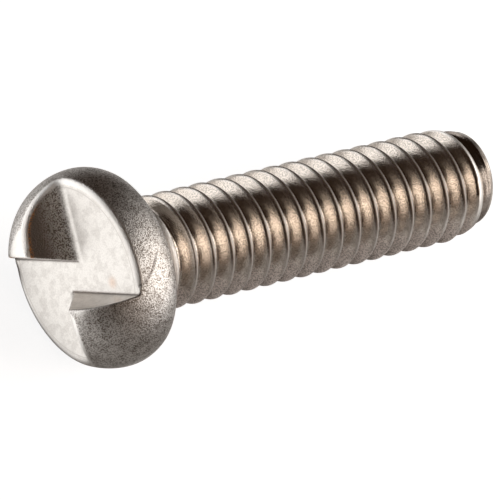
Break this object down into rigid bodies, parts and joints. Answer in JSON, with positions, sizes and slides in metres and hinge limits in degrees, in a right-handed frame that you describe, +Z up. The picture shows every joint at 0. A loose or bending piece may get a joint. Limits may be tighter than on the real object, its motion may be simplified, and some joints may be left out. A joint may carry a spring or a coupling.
{
  "type": "one-way security screw",
  "caption": "One-way round-head security machine screw in stainless steel, fully threaded, with a struck recess that drives it in but gives no grip to back it out.",
  "frame": {"origin": "Middle of the box around the screw, on the surface that it lies on. The screw rests on its head's rim and on its thread.", "axes": "+X runs along the screw towards its point, which lies about 5 degrees lower than the head. +Z is up from the surface. +Y is across the screw."},
  "size_m": [0.0296, 0.0114, 0.0101],
  "materials": {
    "stainless_steel": "tumbled stainless steel, satin and finely speckled, brighter where the punch struck it"
  },
  "bodies": {
    "root": {"screw": "stainless_steel"}
  },
  "joints": []
}
